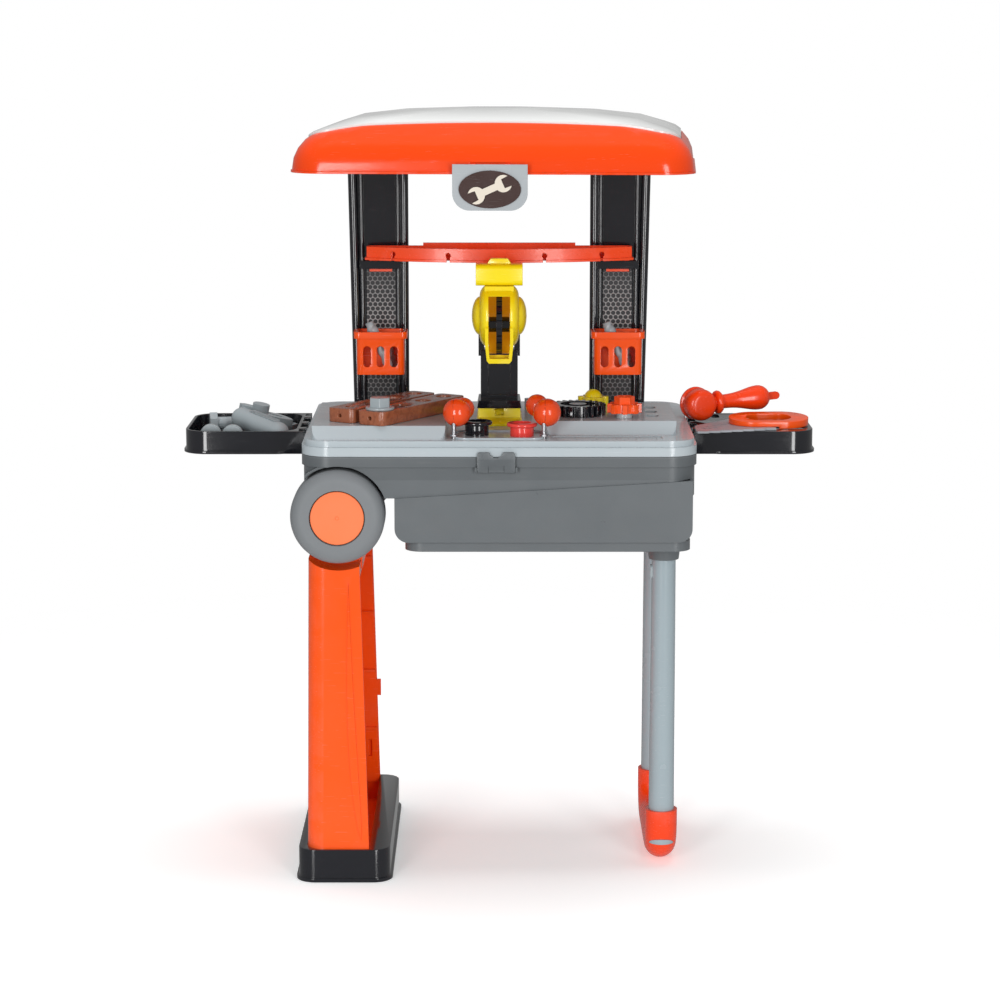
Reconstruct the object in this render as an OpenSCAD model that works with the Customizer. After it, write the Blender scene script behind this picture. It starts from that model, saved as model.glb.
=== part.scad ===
// Toy tool bench that packs down into a wheeled case.
// X runs left to right, Y runs front to back, Z up; the origin is the middle of the footprint on the floor.

/* [Case] */
// Length of the case at its rim
case_w = 398; // [394:1:400]
// Depth of the case at its rim
case_d = 288; // [286:1:290]
// Corner radius of the case in plan
case_r = 30; // [26:1:32]
// Height of the seam between tub and worktop
seam_z = 441.2; // [440.8:0.1:441.4]
// Height of the tub's dark rim band
band_h = 10.7; // [9:0.1:12]
// Underside of the shallow part of the tub, over the wheels
step_z = 399; // [398:1:401]
// Underside of the deep part of the tub
tub_floor_z = 354; // [353:1:356]
// Left end of the deep part of the tub
deep_x0 = -105; // [-106:1:-103]
// Wall thickness of the case mouldings
wall = 2.6; // [2.2:0.1:3]

/* [Wheels] */
// Wheel radius
wheel_r = 47.5; // [46:0.5:48]
// Wheel thickness
wheel_t = 36; // [35:0.5:36]
// Centre of the wheels along X
wheel_x = -162; // [-163:1:-161]
// Height of the axle
wheel_z = 381; // [380:1:382]
// Outer face of each wheel, from the middle plane
wheel_y = 156; // [155.5:0.5:156.5]
// Axle radius
axle_r = 4; // [3.5:0.1:4]
// Hub cap radius
cap_r = 27; // [25:0.5:28]

/* [Left leg] */
// Width of the leg's front face at the top
leg_top_w = 52; // [50:1:53]
// Width of the leg's front face at the bottom
leg_bottom_w = 65; // [62:1:66]
// Depth of the leg, front to back
leg_d = 280; // [276:1:280]
// Height of the leg's top corners
leg_top_z = 340; // [338:1:341]
// Height of the black foot
foot_h = 34; // [30:1:36]

/* [Right legs] */
// X of the two tubes
tube_x = 169; // [168:1:170]
// Distance of each tube from the middle plane
tube_y = 80; // [78:1:82]
// Radius of a tube at its foot
tube_r = 13.3; // [13:0.1:13.5]
// Radius of the grip that joins the tubes
grip_r = 16.5; // [16.2:0.1:17]
// Top of the grip's sleeves
grip_top = 60; // [56:1:64]

/* [Worktop] */
// Height of the flat middle of the worktop
top_z = 457; // [456.5:0.5:457.5]
// Height of the two raised tool beds
bed_z = 470; // [469:0.5:471]

/* [Posts and roof] */
// X of each post's middle
post_x = 125; // [124:0.5:126]
// Front of the posts' rails
post_y = 52; // [51.5:0.5:52.5]
// Width of a post at its foot
post_w = 58; // [57:0.5:59]
// Rim height of the roof
roof_z = 722; // [720:1:724]
// Half the length of the roof rim
roof_hx = 200; // [198:1:201]
// Half the depth of the roof rim
roof_hy = 142; // [140:1:143]
// Height of the roof's dome above its rim
roof_h = 55; // [52:1:56]
// Turn of the roof on its posts, in degrees
roof_turn = -3.5; // [-3.5:0.5:0]

/* [Shelf and baskets] */
// Underside of the shelf
shelf_z = 622; // [620:1:624]
// Half the length of the shelf
shelf_hx = 139; // [137:1:141]
// Underside of the baskets
basket_z = 503; // [502:1:504]
// Height of the baskets
basket_h = 45; // [42:1:46]

/* [Chop saw] */
// Height of the blade's axis
blade_z = 562; // [560:1:563]
// Blade radius
blade_r = 30; // [28:0.5:31]

/* [Trays] */
// Outer end of each side tray
tray_x1 = 325; // [322:1:326]
// Front edge of the side trays
tray_y0 = -51; // [-53:1:-50]
// Back edge of the side trays
tray_y1 = 80; // [78:1:82]
// Top of the tray walls
tray_z = 453; // [452:0.5:453]

/* [Hidden] */

// Colours
c_tub = [0.45, 0.47, 0.48];
c_top = [0.70, 0.75, 0.77];
c_orange = [1.0, 0.38, 0.10];
c_red = [0.90, 0.27, 0.12];
c_black = [0.10, 0.10, 0.12];
c_yellow = [0.98, 0.87, 0.10];
c_wood = [0.45, 0.22, 0.13];
c_grey = [0.62, 0.66, 0.67];
c_steel = [0.75, 0.76, 0.78];
c_tube = [0.62, 0.69, 0.71];

run = 0.06;                     // radial clearance of a running fit
rim_band_z = seam_z - band_h;
step_in = 2;                    // how far each lower wall stands inside the rim
deep_x1 = 194;                  // right end of the deep part of the tub
bay_r = wheel_r + 3;            // radius of the wheel arches
bay_y = wheel_y - wheel_t - 4;  // inner face of the wheel arches
arch_r = wheel_r + 8.5;         // hollow in the leg's top, under the wheels
socket_y = 108;                 // half depth of the leg socket
socket_x0 = wheel_x - 34;
socket_x1 = wheel_x + 26;
socket_z = 343;                 // underside of the leg socket
plug_z = 366;                   // top of the plug inside the leg socket
hinge_y = 149;                  // lid hinge axis
hinge_z = 445;
hinge_r = 3.6;
pin_r = 1.5;
hinge_xs = [-100, 100];
latch_x = -3;                   // middle of the front clip
socket_bottom = 326;            // underside of the tube sockets
tube_top = 352;                 // top end of the tubes
tube_plug_r = 11.6;
tube_bore_r = 9.6;
button_z = 312;
tray_x0 = 207;                  // inner wall of the trays
tray_r = 24;                    // corner radius of the trays in plan
hook_ys = [-26, 14, 54];        // where each tray hooks on
post_d = 24;                    // depth of a post behind its rails
post_top = roof_z + 1;
tenon_w = 40;
tenon_d = 18;
tenon_y = post_y + 5 + post_d / 2;
strap_t = 2.8;                  // bars on the posts that baskets and shelf hook over
basket_strap_z = 518;
shelf_strap_z = 611;
pivot_y = 10;                   // chop saw hinge
pivot_z = 545;
guard_z = 571;                  // middle of the guard's side domes
blade_y = -36;
handle_z = guard_z + 31.8;      // underside of the saw's handle
spout_z = 525;                  // underside of the guard's spout
ball_r = 14.2;
tray_floor = 435.5;

// ---------- plain building shapes ----------

// rounded rectangle, centred, with true arcs
module rr(w, d, r) {
  square([w, d - 2 * r], center = true);
  square([w - 2 * r, d], center = true);
  for (x = [-1, 1], y = [-1, 1])
    translate([x * (w / 2 - r), y * (d / 2 - r)]) circle(r = r, $fn = 48);
}

// rounded block standing on z0
module rblock(w, d, z0, z1, r) {
  translate([0, 0, z0]) linear_extrude(z1 - z0) rr(w, d, r);
}

// block from one corner to the other
module span(a, b) {
  translate(a) cube([b[0] - a[0], b[1] - a[1], b[2] - a[2]]);
}

// stadium outline along X
module stadium(l, w) {
  square([l - w, w], center = true);
  for (x = [-1, 1]) translate([x * (l - w) / 2, 0]) circle(d = w, $fn = 32);
}

// cylinder along Y from y0 to y1
module ycyl(r, y0, y1, fn = 64) {
  translate([0, y1, 0]) rotate([90, 0, 0]) cylinder(r = r, h = y1 - y0, $fn = fn);
}

// cylinder along X from x0 to x1
module xcyl(r, x0, x1, fn = 48) {
  translate([x0, 0, 0]) rotate([0, 90, 0]) cylinder(r = r, h = x1 - x0, $fn = fn);
}

// outline in X and Z drawn out along Y
module y_extrude(y0, y1) {
  translate([0, y1, 0]) rotate([90, 0, 0]) linear_extrude(y1 - y0) children();
}

// outline in Y and Z drawn out along X
module x_extrude(x0, x1) {
  translate([x0, 0, 0]) rotate([90, 0, 90]) linear_extrude(x1 - x0) children();
}

// ---------- case ----------

// side view of the deep part of the tub, with its sloping parting line
module bulge_outline(grow) {
  r = 14 + grow;
  x0 = deep_x0 - grow;
  x1 = deep_x1 + grow;
  z0 = tub_floor_z - grow;
  polygon([[x0, z0 + r], [x1, z0 + r], [x1, step_z + 18], [x0, step_z]]);
  translate([x0 + r, z0]) square([x1 - x0 - 2 * r, r + 1]);
  translate([x0 + r, z0 + r]) circle(r = r, $fn = 48);
  translate([x1 - r, z0 + r]) circle(r = r, $fn = 48);
}

module wheel_bays(r, y_in) {
  for (s = [-1, 1])
    translate([wheel_x, 0, wheel_z])
      ycyl(r, s > 0 ? y_in : -case_d, s > 0 ? case_d : -y_in, 96);
}

// lugs that the tray hooks drop into
module tray_lugs() {
  for (s = [-1, 1], y = hook_ys)
    difference() {
      span([s > 0 ? case_w / 2 - 1.4 : -tray_x0 + 0.4, y - 10, seam_z + 0.6],
           [s > 0 ? tray_x0 - 0.4 : -case_w / 2 + 1.4, y + 10, 447.9]);
      span([s > 0 ? 202.6 : -205.4, y - 7, 442.9], [s > 0 ? 205.4 : -202.6, y + 7, 450]);
    }
}

// tub half of the lid hinge, in the middle of each knuckle set
module tub_knuckles() {
  for (x = hinge_xs)
    difference() {
      union() {
        translate([0, hinge_y, hinge_z]) xcyl(hinge_r, x - 9.7, x + 9.7);
        span([x - 9.7, case_d / 2 - 2, 434], [x + 9.7, hinge_y + 0.6, hinge_z - 0.6]);
      }
      translate([0, hinge_y, hinge_z]) xcyl(pin_r + run, x - 11, x + 11);
      span([x - 11, 130, seam_z], [x + 11, case_d / 2 + 0.4, 450]);
    }
}

module case_tub() {
  color(c_tub) {
    difference() {
      union() {
        rblock(case_w, case_d, rim_band_z, seam_z, case_r);
        rblock(case_w - 2 * step_in, case_d - 2 * step_in, step_z, rim_band_z + 1, case_r - step_in);
        y_extrude(-case_d / 2 + 0.6, case_d / 2 - 0.6) bulge_outline(0);
      }
      rblock(case_w - 10, case_d - 10, step_z + wall, seam_z + 1, case_r - 5);
      y_extrude(-case_d / 2 + 5, case_d / 2 - 5) bulge_outline(-wall);
      wheel_bays(bay_r, bay_y);
    }
    // arches over the wheels
    intersection() {
      difference() {
        wheel_bays(bay_r + wall, bay_y - wall);
        wheel_bays(bay_r, bay_y);
      }
      span([-case_w / 2 + 4, -case_d / 2 + 3, step_z], [deep_x0 + 6, case_d / 2 - 3, seam_z - 1]);
    }
    tub_knuckles();
    // ledges that carry the latch pins
    for (x = [latch_x - 20.3, latch_x + 20.3])
      difference() {
        span([x - 1, -case_d / 2 - 4.4, 426.4], [x + 1, -case_d / 2 + 3, 431.6]);
        translate([0, -case_d / 2 - 2.4, 429]) xcyl(1.3 + run, x - 3, x + 3);
      }
  }
}

module tube_at(y) {
  translate([tube_x, y, 0]) children();
}

module case_floor() {
  color(c_tub) difference() {
    union() {
      translate([(deep_x1 - 1 - 95) / 2, 0, 0])
        rblock(deep_x1 - 1 + 95, case_d - 10, tub_floor_z - 10, tub_floor_z - 0.1, 18);
      for (y = [-tube_y, tube_y])
        tube_at(y) translate([0, 0, socket_bottom])
          cylinder(r1 = 15.4, r2 = 19, h = tub_floor_z - socket_bottom - 1, $fn = 64);
    }
    for (y = [-tube_y, tube_y])
      tube_at(y) translate([0, 0, socket_bottom - 1])
        cylinder(r = tube_plug_r + run, h = tub_floor_z - socket_bottom, $fn = 64);
    // lightening pocket under the plate
    translate([20, 0, 0]) rblock(170, case_d - 40, tub_floor_z - 11, tub_floor_z - 3, 12);
  }
}

module leg_socket() {
  color(c_tub) difference() {
    span([socket_x0, -socket_y, socket_z], [socket_x1, socket_y, step_z - 0.1]);
    span([socket_x0 + 3, -socket_y + 3, socket_z - 1], [socket_x1 - 3, socket_y - 3, step_z - 3]);
    translate([wheel_x, 0, wheel_z]) ycyl(axle_r + run, -socket_y - 1, socket_y + 1);
  }
}

module axle() {
  color(c_steel) translate([wheel_x, 0, wheel_z]) {
    ycyl(axle_r, -wheel_y + 9, wheel_y - 9);
  }
}

module wheel_retainers() {
  color(c_steel) for (s = [-1, 1])
    translate([wheel_x, 0, wheel_z]) difference() {
      ycyl(8, s > 0 ? wheel_y - 12.5 : -wheel_y + 11, s > 0 ? wheel_y - 11 : -wheel_y + 12.5);
      ycyl(axle_r, -wheel_y, wheel_y);
    }
}

module hinge_pins() {
  color(c_steel) for (x = hinge_xs)
    translate([0, hinge_y, hinge_z]) xcyl(pin_r, x - 18, x + 18, 32);
}

module case_screws() {
  color(c_steel) for (x = [-80, 60, 178], y = [-122, 122])
    translate([x, y, 0]) difference() {
      translate([0, 0, tub_floor_z - 12]) cylinder(r = 3.6, h = 2, $fn = 32);
      for (a = [0, 90]) rotate(a) translate([-2.4, -0.5, tub_floor_z - 13]) cube([4.8, 1, 2]);
    }
}

// spring clip with two prongs that stand in front of the worktop's skirt
module latch() {
  y1 = -case_d / 2 - 0.5;
  color(c_tub) translate([latch_x, 0, 0]) {
    difference() {
      y_extrude(y1 - 3.4, y1) difference() {
        translate([0, 436.2]) rr(38, 20.5, 2.4);
        translate([0, 448]) circle(r = 7.2, $fn = 48);
        translate([0, 451]) square([13, 6], center = true);
      }
      // finger scoop
      translate([0, y1 - 14, 427]) xcyl(12.4, -8, 8);
    }
    // trunnions
    translate([0, -case_d / 2 - 2.4, 429]) {
      xcyl(1.3, -21.3, -18, 24);
      xcyl(1.3, 18, 21.3, 24);
    }
  }
}

// ---------- wheels ----------

module wheel() {
  // domed outer face towards -Y, hub bore on the axle
  e = 12;
  rotate([90, 0, 0]) rotate_extrude($fn = 96) difference() {
    union() {
      translate([axle_r + run, wheel_y - wheel_t]) square([wheel_r - axle_r - run, wheel_t - e]);
      translate([axle_r + run, wheel_y - wheel_t]) square([wheel_r - e - axle_r - run, wheel_t - 2.5]);
      translate([wheel_r - e, wheel_y - e]) circle(r = e, $fn = 64);
      translate([cap_r + 1, wheel_y - 6]) square([wheel_r - e - cap_r - 1, 6]);
    }
    // seat of the hub cap, and the pocket of the retainer
    translate([axle_r - 1, wheel_y - 5.5]) square([cap_r + 1.7 - axle_r, 10]);
    translate([axle_r - 1, wheel_y - 13]) square([8, 10]);
    // hollow back of the wheel
    translate([13, wheel_y - wheel_t - 1]) square([wheel_r - 17, wheel_t - 16]);
  }
}

module hubcap() {
  rotate([90, 0, 0]) rotate_extrude($fn = 96) {
    translate([0, wheel_y - 5.4]) square([cap_r - 1, 4.6]);
    translate([0, wheel_y - 5.4]) square([cap_r, 3.6]);
    translate([cap_r - 1, wheel_y - 1.8]) circle(r = 1, $fn = 24);
  }
}

module at_wheel(side) {
  translate([wheel_x, 0, wheel_z]) {
    if (side < 0) children();
    else rotate([0, 0, 180]) children();
  }
}

module wheel_front() { color(c_tub) at_wheel(-1) wheel(); }
module wheel_rear() { color(c_tub) at_wheel(1) wheel(); }
module hubcap_front() { color(c_orange) at_wheel(-1) hubcap(); }
module hubcap_rear() { color(c_orange) at_wheel(1) hubcap(); }

// ---------- left leg ----------

leg_x_top = wheel_x - 31;
leg_x_bot = wheel_x - 35.5;
leg_base = 6.2;
leg_r = 18;                     // radius of the leg's left corners

function leg_left(z) = leg_x_bot + (leg_x_top - leg_x_bot) * z / leg_top_z;
function leg_right(z) = leg_x_bot + leg_bottom_w
  + (leg_x_top + leg_top_w - leg_x_bot - leg_bottom_w) * z / leg_top_z;

// block with rounded corners that leans with the leg's left side
module leg_block(inset, r) {
  lean = atan((leg_x_top - leg_x_bot) / leg_top_z);
  translate([leg_x_bot, 0, 0]) rotate([0, lean, 0])
    translate([60 + inset, 0, 0]) rblock(120, leg_d - 2 * inset, -20, leg_top_z + 20, r);
}

// side outline of the leg between two heights, moved in by the amounts given
module leg_outline(z0, z1, in_left, in_right) {
  polygon([[leg_left(z0) + in_left, z0], [leg_right(z0) - in_right, z0],
           [leg_right(z1) - in_right, z1], [leg_left(z1) + in_left, z1]]);
}

module leg_shell() {
  plug_x0 = socket_x0 + 3.4;
  plug_x1 = socket_x1 - 3.4;
  plug_y = socket_y - 3.4;
  color(c_orange) {
    difference() {
      intersection() {
        y_extrude(-leg_d / 2, leg_d / 2) difference() {
          leg_outline(leg_base, leg_top_z, -5, 0);
          translate([wheel_x, wheel_z]) circle(r = arch_r, $fn = 96);
        }
        leg_block(0, leg_r);
      }
      intersection() {
        y_extrude(-leg_d / 2 + 3, leg_d / 2 - 3) leg_outline(9, 318, -5, -4);
        leg_block(3, leg_r - 3);
      }
    }
    // plug that enters the case
    difference() {
      span([plug_x0, -plug_y, 320], [plug_x1, plug_y, plug_z]);
      span([plug_x0 + 3, -plug_y + 3, 300], [plug_x1 - 3, plug_y - 3, plug_z - 3]);
      span([leg_left(320) - 20, -150, 300], [leg_left(320) + 3, 150, 322]);
      y_extrude(-150, 150) leg_outline(290, 318, -30, -30);
    }
    // slim leaf-shaped relief down the front
    y_extrude(-leg_d / 2 - 0.9, -leg_d / 2 + 0.5) polygon(concat(
      [for (t = [0:0.05:1]) leaf_point(t, 1)], [for (t = [0.95:-0.05:0.05]) leaf_point(t, -1)]));
  }
}

// edge of the leaf: t runs from its tip near the foot to its top, side is 1 or -1
function leaf_point(t, side) = [
  wheel_x + 10 + 10.7 * pow(1 - t, 3) + side * 4.1 * sin(180 * pow(t, 0.62)),
  43 + 269 * t];

// ribbed liner on the leg's rear wall, seen through the leg's open side
module leg_panel() {
  y1 = leg_d / 2 - 3.2;
  color(c_orange) difference() {
    union() {
      intersection() {
        y_extrude(y1 - 3.6, y1) leg_outline(28, 317.8, 20, 1);
        leg_block(3.2, leg_r);
      }
      for (z = [89, 155, 221, 283])
        y_extrude(y1 - 7, y1 - 3) leg_outline(z, z + 3, 22, 1.4);
      // catch that stands out at the open side
      span([leg_right(137) - 6, y1 - 3.6, 128], [leg_right(137) + 4.2, y1, 146]);
    }
    // upright slot
    span([leg_right(68) - 12, y1 - 9, 58], [leg_right(68) - 8, y1 + 1, 77]);
  }
}

module leg_foot() {
  x0 = wheel_x - 44;
  x1 = wheel_x + 50;
  xm = (x0 + x1) / 2;
  color(c_black) difference() {
    union() {
      translate([xm, 0, 0]) rblock(x1 - x0 + 5, leg_d + 12, 0, 4, 20);
      translate([xm, 0, 0]) rblock(x1 - x0, leg_d + 8, 3, foot_h, 18);
    }
    // pocket around the leg
    intersection() {
      y_extrude(-leg_d / 2 - 0.15, leg_d / 2 + 0.15) leg_outline(6, 60, -5, -0.15);
      leg_block(-0.15, leg_r + 0.15);
    }
    // hollow underside, deeper beside the leg
    translate([xm, 0, 0]) rblock(x1 - x0 - 24, leg_d - 24, -1, 3.2, 8);
    span([leg_right(0) + 3.4, -leg_d / 2 + 16, -1], [x1 - 4, leg_d / 2 - 16, foot_h - 3]);
  }
}

// ---------- right legs ----------

module tube(side) {
  tube_at(side * tube_y) color(c_tube) difference() {
    union() {
      translate([0, 0, 24]) cylinder(r1 = tube_r, r2 = 12.3, h = socket_bottom - 24.2, $fn = 64);
      translate([0, 0, socket_bottom - 1])
        cylinder(r = tube_plug_r, h = tube_top - socket_bottom + 1, $fn = 64);
    }
    translate([0, 0, 20]) cylinder(r = tube_bore_r, h = tube_top - 17, $fn = 48);
    // slot of the snap button
    translate([-20, 0, button_z]) rotate([90, 90, 90]) linear_extrude(20) stadium(15.6, 9.6);
  }
}

module tube_front() { tube(-1); }
module tube_rear() { tube(1); }

// U-shaped foot and pull grip
module leg_grip() {
  bend = 30;
  color(c_red) difference() {
    union() {
      for (s = [-1, 1]) {
        translate([tube_x, s * tube_y, grip_r + bend])
          cylinder(r = grip_r, h = grip_top - grip_r - bend, $fn = 64);
        translate([tube_x, s * (tube_y - bend), grip_r + bend])
          rotate([0, 90, 0]) rotate([0, 0, s > 0 ? 0 : -90])
            rotate_extrude(angle = 90, $fn = 96) translate([bend, 0]) circle(r = grip_r, $fn = 64);
      }
      translate([tube_x, 0, grip_r]) ycyl(grip_r, -tube_y + bend, tube_y - bend);
    }
    for (s = [-1, 1])
      translate([tube_x, s * tube_y, 24])
        cylinder(r1 = tube_r, r2 = tube_r + (12.3 - tube_r) * 40 / (socket_bottom - 24.2), h = 40, $fn = 64);
  }
}

// oval snap button with an inner flange, pressed towards +X
module button(side) {
  tube_at(side * tube_y) color(c_tube) translate([0, 0, button_z]) {
    translate([-13.9, 0, 0]) rotate([90, 90, 90]) linear_extrude(7) stadium(15, 9);
    translate([-6.9, 0, 0]) rotate([90, 90, 90]) linear_extrude(1.6) stadium(19, 11);
  }
}

module button_front() { button(-1); }
module button_rear() { button(1); }

// ---------- side trays ----------

module tray_body(side) {
  cx = (tray_x0 + tray_x1) / 2;
  cy = (tray_y0 + tray_y1) / 2;
  w = tray_x1 - tray_x0;
  d = tray_y1 - tray_y0;
  difference() {
    union() {
      translate([side * cx, cy, 0]) rblock(w, d, 429.5, tray_z, tray_r);
      translate([side * (cx + 1), cy, 0]) rblock(w + 2, d + 3.6, 429.5, 432.5, tray_r + 1.5);
      // square end beside the case
      translate([side * (tray_x0 + 15), cy, 0]) rblock(30, d, 429.5, tray_z, 0.5);
      // walls that close the gap to the case, front and back
      for (y = [tray_y0, tray_y1 - 3])
        span([side > 0 ? 201 : -tray_x0 - 1, y, 429.5], [side > 0 ? tray_x0 + 1 : -201, y + 3, tray_z]);
    }
    children();
  }
  // hooks over the lugs
  for (y = hook_ys) {
    span([side > 0 ? 200.6 : -tray_x0 - 1, y - 6, 448.5], [side > 0 ? tray_x0 + 1 : -200.6, y + 6, tray_z]);
    span([side > 0 ? 203 : -205, y - 6, 443.4], [side > 0 ? 205 : -203, y + 6, tray_z]);
  }
}

// open dish
module tray_left() {
  cx = (tray_x0 + tray_x1) / 2;
  cy = (tray_y0 + tray_y1) / 2;
  color(c_black) tray_body(-1)
    translate([-cx, cy, 0])
      rblock(tray_x1 - tray_x0 - 6, tray_y1 - tray_y0 - 6, tray_floor, tray_z + 1, tray_r - 3);
}

// flat deck with tool slots, open below
module tray_right() {
  cx = (tray_x0 + tray_x1) / 2;
  cy = (tray_y0 + tray_y1) / 2;
  color(c_black) tray_body(1) {
    translate([cx, cy, 0]) rblock(tray_x1 - tray_x0 - 6, tray_y1 - tray_y0 - 6, 428, tray_z - 3, tray_r - 3);
    for (i = [0:3]) translate([cx - 36 + 24 * i, tray_y1 - 22, tray_z - 5])
      linear_extrude(10) rotate(90) stadium(26, 9);
    translate([cx + 20, tray_y0 + 26, tray_z - 5]) linear_extrude(10) stadium(52, 8);
  }
}

// ---------- worktop ----------

// raised bed: slanted front, rounded corners, hollow below
module bed(x0, x1, y0, y1, grow, z1) {
  intersection() {
    x_extrude(x0 - grow, x1 + grow)
      polygon([[y0 - grow, top_z - 4], [y0 - grow, top_z], [y0 + 9 - grow, z1],
               [y1 - 4 + grow, z1], [y1 + grow, top_z], [y1 + grow, top_z - 4]]);
    translate([(x0 + x1) / 2, (y0 + y1) / 2, 0])
      rblock(x1 - x0 + 2 * grow, y1 - y0 + 2 * grow, top_z - 5, z1 + 1, 8 + grow);
  }
}

bed_l = [-188, -54, -134, 46];
bed_r = [47, 180, -100, 46];

module lid_knuckles() {
  for (x = hinge_xs, s = [-1, 1])
    difference() {
      union() {
        translate([0, hinge_y, hinge_z])
          xcyl(hinge_r, s > 0 ? x + 10 : x - 18, s > 0 ? x + 18 : x - 10);
        span([s > 0 ? x + 10 : x - 18, case_d / 2 - 2, hinge_z + 0.4],
             [s > 0 ? x + 18 : x - 10, hinge_y, hinge_z + hinge_r]);
      }
      translate([0, hinge_y, hinge_z]) xcyl(pin_r + run, x - 20, x + 20);
      span([x - 20, 100, 430], [x + 20, case_d / 2 + 0.01, hinge_z + 0.3]);
    }
}

gear_black_at = [81, -45];
gear_orange_at = [128, -66];
driver_l_at = [-45.5, -123];
driver_r_at = [45, -123];

module worktop() {
  color(c_top) {
    difference() {
      union() {
        rblock(case_w, case_d, seam_z + 0.3, 450.6, case_r);
        rblock(case_w - 5, case_d - 5, 450, top_z, case_r - 2.5);
        bed(bed_l[0], bed_l[1], bed_l[2], bed_l[3], 0, bed_z);
        bed(bed_r[0], bed_r[1], bed_r[2], bed_r[3], 0, bed_z);
        // pegs for the gears
        translate([gear_black_at[0], gear_black_at[1], bed_z - 1]) cylinder(r = 5, h = 12, $fn = 48);
        translate([gear_orange_at[0], gear_orange_at[1], bed_z - 1]) {
          cylinder(r = 8, h = 6, $fn = 48);
          cylinder(r = 4, h = 16, $fn = 48);
        }
        // lip around the cup tray
        translate([0, -106, 0]) difference() {
          rblock(92, 56, top_z - 1, top_z + 2, 14);
          rblock(88, 52, top_z - 2, top_z + 3, 12);
        }
        // stud at the back
        translate([31, 66, top_z - 1]) cylinder(r = 4, h = 15, $fn = 32);
      }
      rblock(case_w - 6, case_d - 6, seam_z - 1, top_z - 8, case_r - 3);
      rblock(case_w - 11, case_d - 11, seam_z - 1, top_z - 3, case_r - 5.5);
      bed(bed_l[0], bed_l[1], bed_l[2], bed_l[3], -3, bed_z - 3);
      bed(bed_r[0], bed_r[1], bed_r[2], bed_r[3], -3, bed_z - 3);
      // scale recess in front of the right bed
      translate([108, -121, top_z - 0.8]) linear_extrude(4) rr(112, 26, 4);
      // three slots near the outer end of each bed
      for (s = [-1, 1], y = [-55, -26, 4])
        translate([s * 157, y, bed_z - 6]) linear_extrude(8) rr(13, 16, 4.5);
      // holes for the drivers
      for (p = [driver_l_at, driver_r_at])
        translate([p[0], p[1], top_z - 10]) cylinder(r = 3.2, h = 14, $fn = 32);
      // holes for the posts
      for (s = [-1, 1])
        translate([s * post_x, tenon_y, 0])
          rblock(tenon_w + 0.2, tenon_d + 0.2, top_z - 8, top_z + 1, 1.5);
    }
    lid_knuckles();
    tray_lugs();
  }
}

// ---------- posts ----------

module post_rail(x_bot, x_top, r) {
  dx = x_top - x_bot;
  h = post_top - top_z;
  translate([x_bot, post_y + r, top_z]) rotate([0, atan(dx / h), 0])
    cylinder(r = r, h = h / cos(atan(dx / h)), $fn = 40);
}

module post(side) {
  grow = 2.6;
  in = side > 0 ? -1 : 1;   // +1 where the inner edge points to +X
  h = post_top - top_z;
  translate([side * post_x, 0, 0]) {
    difference() {
      union() {
        // body with a leaning outer edge
        y_extrude(post_y + 5, post_y + 5 + post_d)
          polygon([[-in * (post_w / 2 - 1), top_z], [in * (post_w / 2 - 1), top_z],
                   [in * (post_w / 2 - 1), post_top], [-in * (post_w / 2 + grow * 2 - 1), post_top]]);
        post_rail(in * 24.5, in * 24.5, 4.8);
        post_rail(in * 18.2, in * 18.2, 2.6);
        post_rail(-in * 24.5, -in * (24.5 + 2 * grow), 4.8);
        post_rail(-in * 18.2, -in * (18.2 + grow), 2.6);
        // bars that the basket and the shelf hook over
        for (z = [basket_strap_z, shelf_strap_z])
          span([-22, post_y - strap_t, z], [22, post_y, z + 8.5]);
        for (z = [basket_strap_z, shelf_strap_z], s = [-1, 1])
          span([s > 0 ? 18.5 : -22, post_y - strap_t, z], [s > 0 ? 22 : -18.5, post_y + 6, z + 8.5]);
      }
      // trim the slanted rails to the post's height
      span([-50, 30, top_z - 20], [50, 100, top_z]);
      span([-50, 30, post_top], [50, 100, post_top + 20]);
      // hollow back with cross ribs
      difference() {
        span([-post_w / 2 + 3.5, post_y + 9, top_z + 4], [post_w / 2 - 3.5, post_y + 40, post_top - 4]);
        for (i = [1:4]) span([-40, 0, top_z + i * h / 5], [40, 100, top_z + i * h / 5 + 2.5]);
      }
    }
    // plugs into the worktop and into the roof
    translate([0, tenon_y, 0]) {
      rblock(tenon_w, tenon_d, top_z - 8, top_z + 4.5, 1.4);
      rblock(tenon_w, tenon_d, post_top - 4.5, post_top + 24, 1.4);
    }
  }
}

module post_left() { color(c_black) post(-1); }
module post_right() { color(c_black) post(1); }

// honeycomb-patterned plate in the post's channel
module inlay(side) {
  color([0.3, 0.3, 0.31]) translate([side * post_x, 0, 0])
    span([-15.2, post_y + 4.2, top_z + 8], [15.2, post_y + 5, shelf_strap_z]);
}

module inlay_left() { inlay(-1); }
module inlay_right() { inlay(1); }

// ---------- roof ----------

// stack of rounded plates whose hull is the dome, moved in by t all round
module dome(t) {
  edge = 41;
  edge_h = roof_h * 0.71;
  hull() {
    for (a = [0:15:90])
      dome_plate(edge * (1 - cos(a)) + t, edge * (1 - cos(a)) + t, max(edge_h * sin(a) - t, 0));
    for (b = [25:25:75])
      dome_plate(edge + (roof_hx - edge) * (1 - cos(b)) + t * cos(b),
                 edge + (roof_hy - edge) * (1 - cos(b)) + t * cos(b),
                 edge_h + (roof_h - edge_h) * sin(b) - t);
  }
}

module dome_plate(ix, iy, z) {
  translate([0, 0, roof_z + 4 + z]) linear_extrude(0.2)
    offset(r = min(34, roof_hy - iy - 1), $fn = 40)
      square([2 * (roof_hx - ix - min(34, roof_hy - iy - 1)), 2 * (roof_hy - iy - min(34, roof_hy - iy - 1))],
             center = true);
}

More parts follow.
